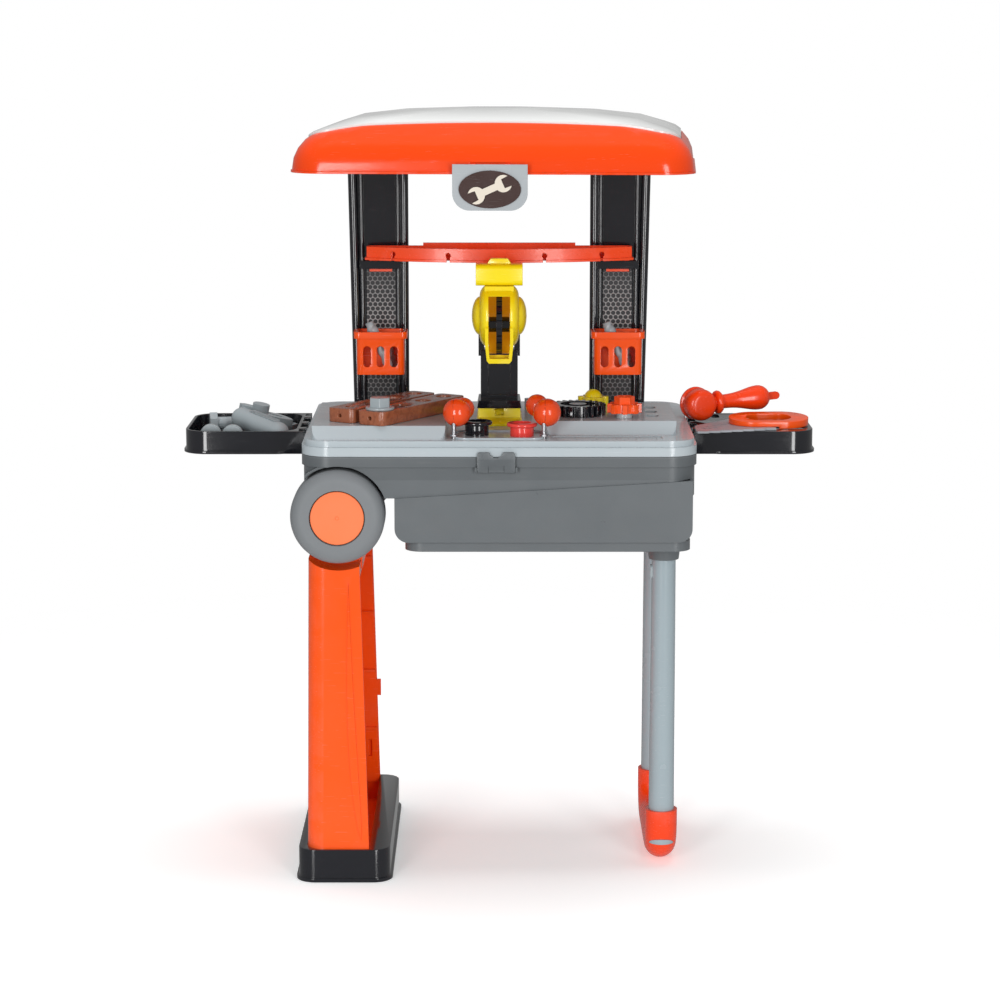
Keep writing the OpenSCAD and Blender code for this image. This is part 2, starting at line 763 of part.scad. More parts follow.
// outline of the grey top, drawn up through the dome; its front edge bows back in the middle
module top_block(grow) {
  w = 2 * roof_hx - 27 + 2 * grow;
  d = 2 * roof_hy - 47 + 2 * grow;
  difference() {
    translate([0, 12, 0])
      rblock(w, d, roof_z + 18.5 - grow, roof_z + 80, 23.5 + grow);
    translate([0, top_bow_y - top_bow_r, roof_z]) cylinder(r = top_bow_r - grow, h = 100, $fn = 1440);
  }
}

top_bow_r = 1118;               // radius of the bowed front edge
top_bow_y = -95;                // its rearmost point

module on_roof() {
  rotate(roof_turn) children();
}

module roof_shell() {
  color(c_orange) {
    on_roof() difference() {
      union() {
        dome(0);
        rblock(2 * roof_hx, 2 * roof_hy, roof_z + 2, roof_z + 4.1, 34);
        rblock(2 * roof_hx + 3, 2 * roof_hy + 3, roof_z, roof_z + 2.2, 35.5);
      }
      dome(2.8);
      rblock(2 * roof_hx - 5.6, 2 * roof_hy - 5.6, roof_z - 1, roof_z + 4.2, 31.2);
      // seat of the grey top panel
      intersection() {
        difference() { dome(-4); dome(1); }
        top_block(0.5);
      }
      // notch for the badge hinge
      span([-20, -roof_hy - 6, roof_z + 3.5], [20, -roof_hy + 2.4, roof_z + 11.5]);
    }
    // sockets on the posts' plugs
    difference() {
      intersection() {
        for (s = [-1, 1]) translate([s * post_x, tenon_y, 0])
          rblock(tenon_w + 7, tenon_d + 7, roof_z + 1.2, roof_z + 60, 3);
        on_roof() union() {
          dome(1.4);
          rblock(2 * roof_hx - 20, 2 * roof_hy - 20, roof_z, roof_z + 6, 30);
        }
      }
      for (s = [-1, 1]) translate([s * post_x, tenon_y, 0])
        rblock(tenon_w + 0.6, tenon_d + 0.6, roof_z + 1, roof_z + 28, 1.7);
    }
    // badge hinge knuckles
    on_roof() for (x = [-17, 17]) difference() {
      union() {
        translate([0, -roof_hy - 2.2, roof_z + 7.5]) xcyl(2.8, x - 2.9, x + 2.9, 32);
        span([x - 2.9, -roof_hy - 2.2, roof_z + 4.7], [x + 2.9, -roof_hy + 2.6, roof_z + 10.3]);
      }
      translate([0, -roof_hy - 2.2, roof_z + 7.5]) xcyl(1.3 + run, x - 4, x + 4, 32);
    }
  }
}

module roof_panel() {
  color(c_top) on_roof() intersection() {
    difference() { dome(-1.2); dome(0.8); }
    top_block(0);
  }
}

// flap hinged on the roof's front rim
module badge_tab() {
  y0 = -roof_hy - 8.2;
  color(c_top) on_roof() {
    y_extrude(y0, y0 + 2.8) {
      translate([-37, roof_z - 13]) square([74, 23.2]);
      translate([0, roof_z - 12.9]) rr(74, 44, 17);
    }
    translate([0, -roof_hy - 2.2, roof_z + 7.5]) xcyl(1.3, -19.5, 19.5, 32);
    span([-13.5, y0 + 2.6, roof_z + 5.6], [13.5, -roof_hy - 1.4, roof_z + 9.4]);
  }
}

module badge_plate() {
  y0 = -roof_hy - 9.8;
  color([0.22, 0.13, 0.12]) on_roof() y_extrude(y0, y0 + 1.6)
    translate([0, roof_z - 14.1]) polygon([for (a = [0:6:354]) [30.6 * cos(a), 18.4 * sin(a)]]);
}

// ---------- shelf and baskets ----------

// hooks that drop behind a bar on the post
module strap_hook(x, strap_z, y_from) {
  translate([x, 0, 0]) {
    span([-12, y_from, strap_z + 9], [12, post_y + 2.4, strap_z + 12]);
    span([-12, post_y + 0.5, strap_z - 3], [12, post_y + 2.4, strap_z + 12]);
  }
}

module shelf_outline(grow) {
  bow = 34;
  r = (shelf_hx * shelf_hx + bow * bow) / (2 * bow);
  intersection() {
    translate([0, r]) circle(r = r + grow, $fn = 360);
    translate([0, 24]) square([2 * (shelf_hx + grow), 48 + 2 * grow], center = true);
  }
}

module shelf() {
  color(c_red) difference() {
    union() {
      translate([0, 0, shelf_z]) linear_extrude(14) shelf_outline(0);
      translate([0, 0, shelf_z]) linear_extrude(2.4) intersection() {
        shelf_outline(1.8);
        square([400, 96], center = true);
      }
      // raised back between the posts
      span([-80, 45, shelf_z], [80, 48, shelf_z + 17]);
      for (s = [-1, 1]) strap_hook(s * post_x, shelf_strap_z, 46);
    }
    translate([0, 0, shelf_z + 2.6]) linear_extrude(20) intersection() {
      shelf_outline(-2.6);
      translate([0, 20]) square([400, 50], center = true);
    }
    // keyhole slots in the lip
    for (x = [-111, -53, 47, 107]) translate([x, 0, 0]) {
      span([-1.6, -5, shelf_z - 1], [1.6, 24, shelf_z + 6]);
      translate([0, 0, shelf_z + 7]) ycyl(2.7, -5, 24, 32);
    }
  }
}

module basket(side) {
  front = 15;
  back = post_y - strap_t - 0.7;
  z1 = basket_z + basket_h;
  cy = (front + back) / 2;
  translate([side * (post_x - 0.5), 0, 0]) {
    difference() {
      union() {
        translate([0, cy, 0]) rblock(50, back - front, basket_z, z1, 5);
        translate([0, cy - 1, 0]) rblock(56, back - front + 2, z1 - 7, z1, 6);
      }
      translate([0, cy, 0]) rblock(45.6, back - front - 4.4, basket_z + 2.4, z1 + 1, 3.5);
      // three upright slots in the front
      for (x = [-14, 0, 14])
        translate([x, front + 4, basket_z + 19]) rotate([90, 90, 0]) linear_extrude(8) stadium(22, 8);
      // clears the post's bar
      span([-30, back, basket_z - 1], [30, back + 10, z1 + 1]);
    }
    strap_hook(side * 0.5, basket_strap_z, back - 1);
  }
}

module basket_left() { color(c_orange) basket(-1); }
module basket_right() { color(c_orange) basket(1); }

// toy drill bits leaning in a basket
module bits(side) {
  color(c_grey) translate([side * (post_x - 0.5), 0, 0]) {
    translate([9, 24.8, basket_z + 6.6]) rotate([0, -24, 0]) {
      cylinder(r = 5, h = 34, $fn = 40);
      translate([0, 0, 34]) cylinder(r1 = 6.6, r2 = 5.2, h = 18, $fn = 40);
    }
    translate([14, 38.5, basket_z + 4.6]) rotate([0, -14, 0]) {
      cylinder(r = 4.4, h = 30, $fn = 40);
      translate([0, 0, 30]) cylinder(r1 = 4.4, r2 = 1.2, h = 8, $fn = 40);
    }
  }
}

module bits_left() { bits(-1); }
module bits_right() { bits(1); }

// ---------- chop saw ----------

module saw_base() {
  color(c_yellow) difference() {
    union() {
      // foot plate with a slanted front lip
      x_extrude(-23.5, 23.5)
        polygon([[-42, top_z], [-42, top_z + 2], [-34, top_z + 6], [30, top_z + 6], [30, top_z]]);
      span([-22, -20, top_z + 5], [22, 26, top_z + 16]);
    }
    // thread window in the front
    span([-4.6, -21, top_z + 8], [4.6, -12, top_z + 17]);
  }
  // thread inside the window
  color(c_wood) for (i = [0:2])
    translate([0, -13.5, top_z + 9.3 + i * 2.1]) rotate([0, 78, 0])
      translate([0, 0, -5.2]) cylinder(r = 1.1, h = 10.4, $fn = 20);
}

module saw_column() {
  z0 = top_z + 16;
  color(c_black) difference() {
    union() {
      y_extrude(-22, 28) polygon([[-23, z0], [23, z0], [21.5, z0 + 8], [-21.5, z0 + 8]]);
      span([-19.3, -5, z0 + 8], [19.3, 24, pivot_z - 14]);
      // yoke ears
      for (s = [-1, 1]) {
        span([s > 0 ? 15.6 : -21.6, 0, pivot_z - 16], [s > 0 ? 21.6 : -15.6, 20, pivot_z + 2]);
        translate([0, pivot_y, pivot_z + 2])
          xcyl(10, s > 0 ? 15.6 : -21.6, s > 0 ? 21.6 : -15.6);
      }
      span([-21.6, 0, pivot_z - 20], [21.6, 20, pivot_z - 13.4]);
    }
    // recessed front panel and hollow back
    span([-11.5, -6, z0 + 12], [11.5, -3.5, pivot_z - 21]);
    span([-15, 1, z0 + 12], [15, 30, pivot_z - 24]);
    translate([0, pivot_y, pivot_z]) xcyl(3 + run, -30, 30, 40);
  }
}

// half outline of the guard's turned body: radius against distance from the middle plane
function guard_profile() = concat(
  [[0, 28.2]],
  [for (a = [18:12:78]) [19.8 * sin(a), 19.6 + 8.6 * cos(a)]],
  [for (b = [0:15:90]) [19.8 + 11.8 * sin(b), 11.6 + 8.6 * cos(b)]]);

// hollow guard: turned body with side domes, spout, and the arm to the pivot
module saw_guard() {
  half = guard_profile();
  color(c_yellow) {
    difference() {
      union() {
        translate([0, blade_y, guard_z]) rotate([0, 90, 0]) rotate_extrude($fn = 96)
          polygon(concat(half, [for (i = [len(half) - 1:-1:0]) [half[i][0], -half[i][1]]]));
        // spout at the front, below the body
        intersection() {
          x_extrude(-14.5, 14.5) polygon([[blade_y - 33, guard_z - 9], [blade_y - 29, spout_z],
                                          [blade_y - 8, spout_z], [blade_y + 2, spout_z + 20]]);
          y_extrude(blade_y - 40, blade_y + 10)
            polygon([[-14.5, guard_z], [-14.5, spout_z + 20], [-12.8, spout_z + 3], [-10.4, spout_z],
                     [10.4, spout_z], [12.8, spout_z + 3], [14.5, spout_z + 20], [14.5, guard_z]]);
        }
        // arm back to the pivot
        x_extrude(-14.8, 14.8) polygon([[blade_y + 12, blade_z - 18], [blade_y + 12, blade_z + 8],
                                        [pivot_y + 4, pivot_z + 8.4], [pivot_y + 4, pivot_z - 8.4]]);
        translate([0, pivot_y, pivot_z]) xcyl(9.4, -15.2, 15.2);
        // neck under the handle
        span([-15, blade_y - 16, guard_z + 22], [15, blade_y + 14, handle_z - 0.1]);
      }
      // space for the blade, and its window
      translate([0, blade_y, blade_z]) xcyl(32.4, -11, 11, 96);
      y_extrude(blade_y - 60, blade_y - 12)
        polygon([[-11, guard_z + 22], [-11, spout_z + 20], [-9.8, spout_z + 5], [9.8, spout_z + 5],
                 [11, spout_z + 20], [11, guard_z + 22]]);
      // blind seats of the blade's stub shafts
      translate([0, blade_y, blade_z]) xcyl(3 + run, -17.4, 17.4, 40);
    }
    // stub pins in the yoke
    for (s = [-1, 1])
      translate([0, pivot_y, pivot_z]) xcyl(3, s > 0 ? 14 : -21, s > 0 ? 21 : -14, 40);
  }
}

module saw_handle() {
  color(c_yellow) {
    translate([0, blade_y, handle_z + 11]) x_extrude(-24, 24) rr(27, 22, 6);
    // arch on top
    translate([0, blade_y, handle_z + 18]) intersection() {
      ycyl(12.6, -5, 5);
      span([-14, -6, 2], [14, 6, 9.4]);
    }
  }
}

// toothed disc with its stub shafts
module saw_blade() {
  color(c_black) translate([0, blade_y, blade_z]) {
    difference() {
      xcyl(blade_r, -3, 3, 96);
      for (i = [0:23]) rotate([15 * i, 0, 0])
        translate([-4, blade_r - 3.2, 0]) cube([8, 5, 1.8]);
      // spokes' windows
      for (i = [0:4]) rotate([72 * i, 0, 0]) translate([0, 16.5, 0]) xcyl(5, -4, 4, 32);
    }
    xcyl(8, -10.6, 10.6, 40);
    xcyl(3, -17, 17, 40);
  }
}

// ---------- things on the worktop ----------

// cup with a rounded rim
module cup(h) {
  rim = 4;
  difference() {
    union() {
      cylinder(r = 12, h = h, $fn = 64);
      translate([0, 0, h - rim]) cylinder(r = 11.8 + rim - 2, h = rim, $fn = 64);
      translate([0, 0, h - rim / 2]) rotate_extrude($fn = 64)
        translate([13.6, 0]) circle(r = rim / 2, $fn = 32);
    }
    translate([0, 0, 2]) cylinder(r = 9.6, h = h, $fn = 64);
  }
}

module cup_black() { color(c_black) translate([-22.5, -99, top_z]) cup(14.5); }
module cup_red() { color([0.98, 0.29, 0.27]) translate([23, -105, top_z]) cup(13.5); }

// two-lobed handle, leaning back from its shaft
module driver_handle(p, lobe) {
  color(c_orange) translate([p[0] + 3, p[1] + 8, top_z + 25]) difference() {
    union() {
      sphere(r = ball_r, $fn = 64);
      translate(lobe) sphere(r = 11.5, $fn = 64);
    }
    translate([-3, -8, -30]) cylinder(r = 2.24, h = 26, $fn = 32);
  }
}

module driver_shaft(p) {
  color(c_steel) translate([p[0], p[1], top_z - 6]) {
    cylinder(r = 2.2, h = 26, $fn = 32);
    translate([0, 0, 8.4]) cylinder(r = 4.4, h = 1.7, $fn = 32);
  }
}

module driver_left_handle() { driver_handle(driver_l_at, [6, 16, 1.5]); }
module driver_left_shaft() { driver_shaft(driver_l_at); }
module driver_right_handle() { driver_handle(driver_r_at, [-9.7, 18, 4.5]); }
module driver_right_shaft() { driver_shaft(driver_r_at); }

// spur gear standing on z = 0
module gear(teeth, r_out, depth, h, bore) {
  pitch = 360 / teeth;
  r_root = r_out - depth;
  difference() {
    union() {
      cylinder(r = r_root, h = h, $fn = 96);
      for (i = [0:teeth - 1]) rotate(i * pitch)
        linear_extrude(h) polygon([
          [r_root - 1, -r_root * sin(pitch * 0.30)], [r_out, -r_out * sin(pitch * 0.17)],
          [r_out, r_out * sin(pitch * 0.17)], [r_root - 1, r_root * sin(pitch * 0.30)]]);
    }
    translate([0, 0, -1]) cylinder(r = bore, h = h + 20, $fn = 48);
  }
}

module gear_black() {
  color(c_black) translate([gear_black_at[0], gear_black_at[1], bed_z + 0.2]) difference() {
    gear(24, 28.7, 5, 11, 5 + run);
    // ring-shaped recess in the top
    translate([0, 0, 7]) difference() {
      cylinder(r = 18, h = 6, $fn = 64);
      translate([0, 0, -1]) cylinder(r = 9, h = 8, $fn = 48);
    }
  }
}

module gear_orange() {
  color(c_orange) translate([gear_orange_at[0], gear_orange_at[1], bed_z + 5.2]) {
    gear(8, 17.5, 4.5, 9, 4 + run);
    translate([0, 0, 8.9]) difference() {
      cylinder(r = 10.5, h = 7.5, $fn = 6);
      translate([0, 0, -1]) cylinder(r = 4 + run, h = 10, $fn = 48);
    }
  }
}

module gear_yellow() {
  color(c_yellow) translate([99, 24, bed_z + 0.2]) difference() {
    union() {
      cylinder(r = 11, h = 9, $fn = 64);
      for (i = [0:5]) rotate(60 * i) translate([11.5, 0, 0]) cylinder(r = 4.6, h = 9, $fn = 32);
      intersection() {
        translate([0, 0, 7]) sphere(r = 9.5, $fn = 64);
        cylinder(r = 12, h = 20, $fn = 48);
      }
    }
    translate([0, 0, -3]) cylinder(r = 3.6, h = 23, $fn = 32);
  }
}

// plank with rounded corners, a bolt hole and shallow hollows; p is the middle of its front end
plank_l = 150;
plank_w = 32;
plank_t = 14;
plank_a = -33;
plank_pitch = 38;

module plank(p) {
  color(c_wood) translate([p[0], p[1], bed_z + 0.2]) rotate(plank_a) difference() {
    translate([0, plank_l / 2, 0]) rblock(plank_w, plank_l, 0, plank_t, 6);
    translate([0, 18, -1]) cylinder(r = 4.6, h = plank_t + 2, $fn = 40);
    for (i = [1:3]) translate([0, 18 + i * plank_pitch, plank_t - 3]) cylinder(r = 8, h = 4, $fn = 48);
    translate([0, 0, plank_t / 2]) ycyl(2, -1, 8, 32);
  }
}

plank_front_at = [-130, -123];
plank_rear_at = [-161, -103];

module plank_front() { plank(plank_front_at); }
module plank_rear() { plank(plank_rear_at); }

module hex_bolt() {
  color(c_grey) translate([plank_front_at[0], plank_front_at[1], bed_z + 0.4 + plank_t])
    rotate(plank_a) translate([0, 18, 0]) rotate(-plank_a) {
      cylinder(r = 14.4, h = 2.6, $fn = 64);
      translate([0, 0, 2.5]) rotate(30) cylinder(r = 11.2, h = 9.5, $fn = 6);
      translate([0, 0, -11]) cylinder(r = 4, h = 11.5, $fn = 40);
    }
}

// ---------- things on the right tray ----------

// toy hammer: turned head, neck ring, pear-shaped handle and a hanging tab
module hammer() {
  color(c_red) translate([210.5, 22, tray_z + 17.8]) rotate([0, -3.5, 20]) {
    // head lies across the handle
    rotate([90, 0, 0]) rotate_extrude($fn = 64) polygon(concat(
      [[0, -12], [15.4, -12], [17.4, -10.6], [17.4, -8], [15.2, -6.4], [16.6, -3.5], [16.6, 6]],
      [for (a = [18:18:72]) [9 + 7.6 * cos(a), 6 + 8 * sin(a)]],
      [[9, 14], [0, 14]]));
    xcyl(7.3, 4, 19, 64);
    rotate([0, 90, 0]) rotate_extrude($fn = 64) polygon(hammer_profile());
    translate([84, 0, 0]) rotate([90, 0, 0]) translate([0, 0, -1.6]) linear_extrude(3.2) stadium(18, 8);
  }
}

function hammer_profile() = concat(
  [[0, 17.8]],
  [for (a = [0:30:180]) [9 + 3.4 * sin(a), 21.4 - 3.6 * cos(a)]],
  [for (t = [0:0.1:1]) [7.4 + 5.6 * pow(sin(90 * pow(t, 1.4)), 2), 25.4 + 42.6 * t]],
  [for (a = [15:15:90]) [13 * cos(a), 68 + 13 * sin(a)]]);

// stepped saw blade lying on the tray, and its ring handle
saw_teeth = 7;
saw_corner = [203, -67];
saw_tip = [286, -41];

module handsaw_blade() {
  dx = (saw_tip[0] - saw_corner[0]) / saw_teeth;
  dy = (saw_tip[1] - saw_corner[1]) / saw_teeth;
  color(c_grey) translate([0, 0, tray_z + 0.3]) difference() {
    linear_extrude(2.2) polygon(concat(
      [[258, 14], [243, 22], [202.5, -28], [202, -62], saw_corner],
      [for (i = [1:saw_teeth]) each [[saw_corner[0] + dx * i, saw_corner[1] + dy * (i - 0.85)],
                                     [saw_corner[0] + dx * i, saw_corner[1] + dy * i]]],
      [[284, -33], [258, -29]]));
    // row of cut-outs along the back edge
    for (i = [0:4]) translate([208 + 6.2 * i, -44 + 8.5 * i, -1]) rotate(-24) cube([11, 3, 5]);
  }
}

module handsaw_grip() {
  color(c_orange) difference() {
    translate([281, -8, tray_z + 0.3]) rotate([3, 0, 4]) translate([0, 0, 1.6]) difference() {
      rblock(83, 57, 0, 7, 28);
      rblock(47, 33, -1, 9, 16);
    }
    // seat on the blade
    span([230, -42, tray_z], [259, 26, tray_z + 2.7]);
    span([230, -42, tray_z], [290, -25, tray_z + 2.7]);
  }
}

// ---------- things in the left tray ----------

// fat adjustable spanner, one end up, with the ribs of its rack on top
module spanner() {
  color(c_grey) translate([-249, -9, tray_floor + 17]) rotate([0, 8, -48]) {
    xcyl(11.5, -32, 30);
    for (x = [-32, 30]) translate([x, 0, 0]) sphere(r = 11.5, $fn = 64);
    for (i = [0:9]) translate([-16 + 4.4 * i, -3.5, 10]) cube([2.4, 8, 2.6]);
  }
}

// closed jaws and two bowed handles
module pliers() {
  color(c_grey) translate([-256, 52, tray_floor + 16]) rotate([12, 0, 75]) {
    cylinder(r = 9, h = 16, $fn = 48);
    linear_extrude(11) polygon([[-7, 4], [7, 4], [4.5, 20], [0, 24], [-4.5, 20]]);
    for (s = [-1, 1]) intersection() {
      translate([-s * 17, -18, 0]) difference() {
        cylinder(r = 26, h = 8, $fn = 96);
        translate([0, 0, -1]) cylinder(r = 20, h = 10, $fn = 96);
      }
      span([s > 0 ? 0 : -40, -44, -1], [s > 0 ? 40 : 0, -2, 20]);
    }
  }
}

// nuts, a bolt lying on two of them, and two small wheels leaning on the front wall
module toy_nuts() {
  color(c_grey) {
    for (n = [[-284, 33, 10], [-264, 36, 7], [-225, 65, 10]])
      translate([n[0], n[1], tray_floor + 0.2]) nut(n[2]);
    translate([-306, 29, tray_floor + 14.6]) rotate([0, 90, 10]) {
      cylinder(r = 11, h = 8, $fn = 6);
      translate([0, 0, 7.9]) cylinder(r = 6, h = 38, $fn = 48);
    }
    for (p = [[-299, -31], [-276, -35]])
      translate([p[0], p[1], tray_floor + 11.2]) difference() {
        ycyl(11, -3, 3);
        ycyl(4, -4, 4, 32);
      }
  }
}

module nut(r) {
  difference() {
    cylinder(r = r, h = 8, $fn = 6);
    translate([0, 0, -1]) cylinder(r = r * 0.5, h = 10, $fn = 32);
  }
}

// ---------- one line for each piece ----------

case_tub();
case_floor();
leg_socket();
axle();
wheel_retainers();
hinge_pins();
case_screws();
latch();
wheel_front();
hubcap_front();
wheel_rear();
hubcap_rear();
worktop();
post_left();
post_right();
inlay_left();
inlay_right();
roof_shell();
roof_panel();
badge_tab();
badge_plate();
shelf();
basket_left();
basket_right();
bits_left();
bits_right();
saw_base();
saw_column();
saw_guard();
saw_handle();
saw_blade();
cup_black();
cup_red();
driver_left_handle();
driver_left_shaft();
driver_right_handle();
driver_right_shaft();
gear_black();
gear_orange();
gear_yellow();
plank_front();
plank_rear();
hex_bolt();
hammer();
handsaw_blade();
handsaw_grip();
spanner();
pliers();
toy_nuts();
leg_shell();
leg_panel();
leg_foot();
tube_front();
tube_rear();
leg_grip();
button_front();
button_rear();
tray_left();
tray_right();
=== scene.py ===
"""Toy workbench: the looks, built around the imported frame. Metres, same frame as the CAD."""

import math

import bpy
from mathutils import Matrix, Vector


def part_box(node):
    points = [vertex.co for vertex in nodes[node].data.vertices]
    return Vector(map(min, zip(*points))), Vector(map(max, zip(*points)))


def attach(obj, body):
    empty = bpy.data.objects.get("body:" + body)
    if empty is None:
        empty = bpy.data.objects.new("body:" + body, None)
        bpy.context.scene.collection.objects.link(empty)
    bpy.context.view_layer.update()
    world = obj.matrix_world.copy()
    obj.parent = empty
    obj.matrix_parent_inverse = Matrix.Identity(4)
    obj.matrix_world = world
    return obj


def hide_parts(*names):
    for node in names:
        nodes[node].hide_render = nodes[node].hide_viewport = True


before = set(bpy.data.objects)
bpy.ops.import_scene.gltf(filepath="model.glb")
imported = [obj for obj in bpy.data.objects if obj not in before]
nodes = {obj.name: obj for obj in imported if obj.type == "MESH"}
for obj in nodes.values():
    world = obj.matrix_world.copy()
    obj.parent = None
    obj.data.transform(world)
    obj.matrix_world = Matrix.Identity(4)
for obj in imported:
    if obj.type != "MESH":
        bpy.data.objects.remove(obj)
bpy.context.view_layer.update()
scene = bpy.context.scene
MM = 0.001

# places on the bench, in metres
BLADE_Y, BLADE_Z = -0.036, 0.562  # middle of the saw's blade
BLADE_SPACE = 11.1 * MM  # half width of its space in the guard
BLADE_REACH = 32.6 * MM  # just outside the space's radius
WHEEL_X, WHEEL_Z = -0.162, 0.381
TYRE_Y = 0.138  # middle of each tyre
BASKET_X = 0.1245  # middle of each basket
WELD = 0.02 * MM  # points nearer than this are one


# ---------- small helpers ----------


def rgb(r, g, b):
    """sRGB values from 0 to 255 as a linear colour."""

    def lin(v):
        v /= 255
        return v / 12.92 if v <= 0.04045 else ((v + 0.055) / 1.055) ** 2.4

    return (lin(r), lin(g), lin(b), 1.0)


class Graph:
    """A material's node graph, built from short calls."""

    def __init__(self, name):
        self.mat = bpy.data.materials.new(name)
        self.mat.use_nodes = True
        self.tree = self.mat.node_tree
        self.tree.nodes.clear()
        self.out = self.add("ShaderNodeOutputMaterial")
        self.bsdf = self.add("ShaderNodeBsdfPrincipled")
        self.link(self.bsdf.outputs["BSDF"], self.out.inputs["Surface"])
        self.obj = self.add("ShaderNodeTexCoord").outputs["Object"]

    def add(self, kind, **props):
        node = self.tree.nodes.new(kind)
        for key, value in props.items():
            setattr(node, key, value)
        return node

    def link(self, a, b):
        self.tree.links.new(a, b)

    def put(self, socket, value):
        if isinstance(value, bpy.types.NodeSocket):
            self.link(value, socket)
        else:
            socket.default_value = value

    def math(self, op, a, b=0.0, c=0.0):
        n = self.add("ShaderNodeMath", operation=op)
        for i, v in enumerate((a, b, c)):
            self.put(n.inputs[i], v)
        return n.outputs[0]

    def place(self, scale=(1, 1, 1), turn=(0, 0, 0)):
        n = self.add("ShaderNodeMapping")
        n.inputs["Scale"].default_value = scale
        n.inputs["Rotation"].default_value = [math.radians(a) for a in turn]
        self.link(self.obj, n.inputs["Vector"])
        return n.outputs[0]

    def noise(self, scale, detail=2.0, rough=0.5, at=None, distort=0.0):
        n = self.add("ShaderNodeTexNoise")
        n.inputs["Scale"].default_value = scale
        n.inputs["Detail"].default_value = detail
        n.inputs["Roughness"].default_value = rough
        n.inputs["Distortion"].default_value = distort
        self.link(at or self.obj, n.inputs["Vector"])
        return n.outputs["Fac"]

    def ramp(self, value, stops):
        """Piecewise colours or greys: stops are (position, grey or colour)."""
        n = self.add("ShaderNodeValToRGB")
        els = n.color_ramp.elements
        while len(els) < len(stops):
            els.new(0.5)
        for el, (pos, col) in zip(els, stops):
            el.position = pos
            el.color = col if isinstance(col, tuple) else (col, col, col, 1.0)
        self.put(n.inputs["Fac"], value)
        return n.outputs["Color"]

    def mix(self, fac, a, b, how="MIX"):
        n = self.add("ShaderNodeMix", data_type="RGBA", blend_type=how)
        self.put(n.inputs[0], fac)
        self.put(n.inputs[6], a)
        self.put(n.inputs[7], b)
        return n.outputs[2]

    def xyz(self, at=None):
        n = self.add("ShaderNodeSeparateXYZ")
        self.link(at or self.obj, n.inputs[0])
        return n.outputs

    def bump(self, height, strength, distance, normal=None):
        n = self.add("ShaderNodeBump")
        n.inputs["Strength"].default_value = strength
        n.inputs["Distance"].default_value = distance
        self.put(n.inputs["Height"], height)
        if normal is not None:
            self.link(normal, n.inputs["Normal"])
        return n.outputs["Normal"]

    def soft_edges(self, radius):
        n = self.add("ShaderNodeBevel")
        n.samples = 4
        n.inputs["Radius"].default_value = radius
        return n.outputs["Normal"]


def moulded(
    name, colour, rough, coat=0.0, edge=0.7, drift=0.03, peel=0.05, rub=0.0, rub_turn=(0, 0, 0),
    pale_edge=0.12, dust=0.0, paint=None,
):
    """Injection-moulded plastic: colour drift, orange peel, rub marks, paler edges (some wear and a painted
    highlight), dust on top.

    edge is the radius of the softened edges in mm. paint, if given, takes the graph and the base colour
    socket, and returns a colour and a height or None."""
    g = Graph(name)
    b = g.bsdf
    cloud = g.noise(7.0, 3.0)
    col = g.mix(g.math("MULTIPLY", g.math("SUBTRACT", cloud, 0.35), 1.6), colour,
                tuple(c * (1 - drift * 2.2) for c in colour[:3]) + (1,))
    extra = None
    if paint:
        col, extra = paint(g, col)
    # paler sharp edges: a little wear, and a painted highlight where the edges catch the light
    point = g.add("ShaderNodeNewGeometry").outputs["Pointiness"]
    wear_and_edge_highlight = g.ramp(point, [(0.54, 0.0), (0.64, 1.0)])
    patchy = g.ramp(g.noise(55.0, 4.0), [(0.42, 0.0), (0.62, 1.0)])
    pale = tuple(min(1.0, c * 0.55 + 0.45 * max(colour[:3])) for c in colour[:3]) + (1,)
    col = g.mix(g.math("MULTIPLY", g.math("MULTIPLY", wear_and_edge_highlight, patchy), pale_edge), col, pale)
    # fine scratches, long in one direction
    streak = g.noise(1.0, 2.0, 0.6, at=g.place((35, 900, 900), rub_turn), distort=0.3)
    lines = g.ramp(streak, [(0.66, 0.0), (0.70, 1.0)])
    if rub:
        col = g.mix(g.math("MULTIPLY", lines, rub), col, pale)
    if dust:
        up = g.xyz(g.add("ShaderNodeNewGeometry").outputs["Normal"])[2]
        flat = g.ramp(up, [(0.55, 0.0), (0.95, 1.0)])
        specks = g.ramp(g.noise(420.0, 5.0, 0.7), [(0.5, 0.15), (0.75, 1.0)])
        col = g.mix(g.math("MULTIPLY", g.math("MULTIPLY", flat, specks), dust), col, rgb(206, 202, 196))
    g.put(b.inputs["Base Color"], col)
    smudge = g.noise(22.0, 4.0, 0.6)
    r = g.math("ADD", rough, g.math("MULTIPLY", g.math("SUBTRACT", smudge, 0.5), rough * 0.9))
    r = g.math("ADD", r, g.math("MULTIPLY", lines, 0.10 + rub * 0.3))
    g.put(b.inputs["Roughness"], r)
    b.inputs["IOR"].default_value = 1.5
    b.inputs["Specular IOR Level"].default_value = 0.5
    if coat:
        b.inputs["Coat Weight"].default_value = coat
        b.inputs["Coat Roughness"].default_value = 0.08
    n = g.soft_edges(edge * MM) if edge else None
    n = g.bump(g.noise(650.0, 2.0, 0.6), peel, 0.0004, n)
    n = g.bump(g.noise(26.0, 2.0), 0.03, 0.0012, n)
    if extra is not None:
        n = g.bump(extra, 0.8, 0.0006, n)
    g.put(b.inputs["Normal"], n)
    return g.mat
